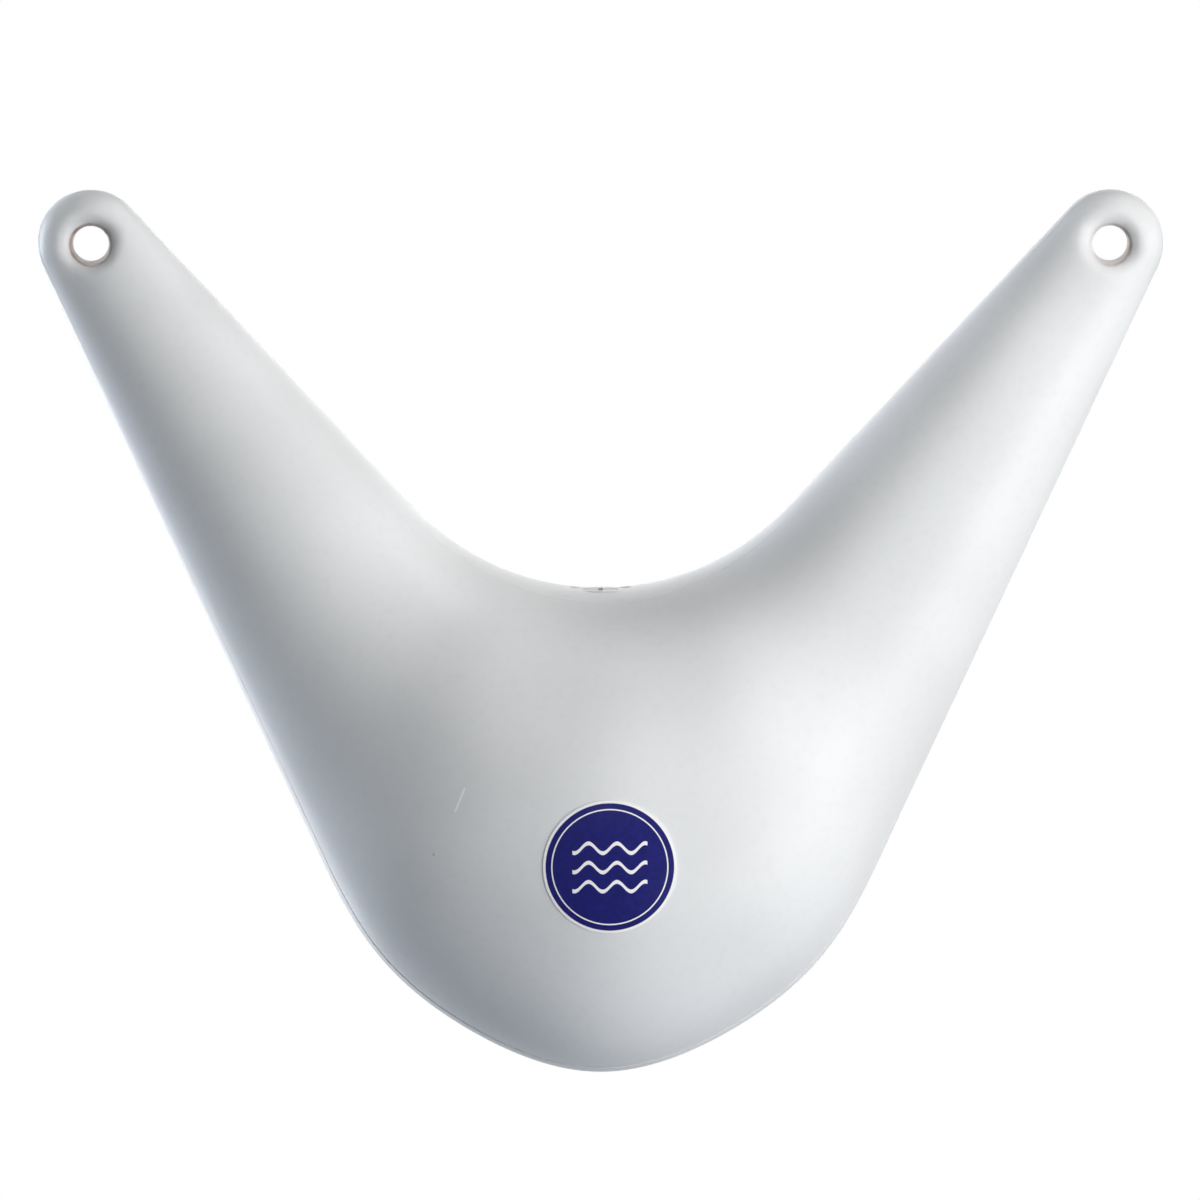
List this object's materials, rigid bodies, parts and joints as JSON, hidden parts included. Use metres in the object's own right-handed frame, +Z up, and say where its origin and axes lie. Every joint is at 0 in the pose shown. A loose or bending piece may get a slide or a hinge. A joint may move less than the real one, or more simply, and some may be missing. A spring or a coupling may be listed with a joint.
{
  "type": "bow fender",
  "caption": "V-shaped hollow soft bow fender that hangs in front of a boat's stem by a rope eye at the end of each arm, with a round belly, an air valve in the crotch and a round label.",
  "frame": {"origin": "midway between the centres of the rope eyes, in the plane of the V", "axes": "+X along the line of the eyes, +Z up, and the front with the label looks along -Y"},
  "size_m": [0.4404, 0.16, 0.3463],
  "materials": {
    "soft_pvc": "satin",
    "valve_white": "satin",
    "valve_grey": "satin",
    "seal_black": "matte",
    "label_film": "gloss"
  },
  "bodies": {
    "root": {"fender_body": "soft_pvc", "valve_body": "valve_white", "valve_plug": "valve_grey", "valve_seal": "seal_black", "round_label": "label_film"}
  },
  "joints": []
}
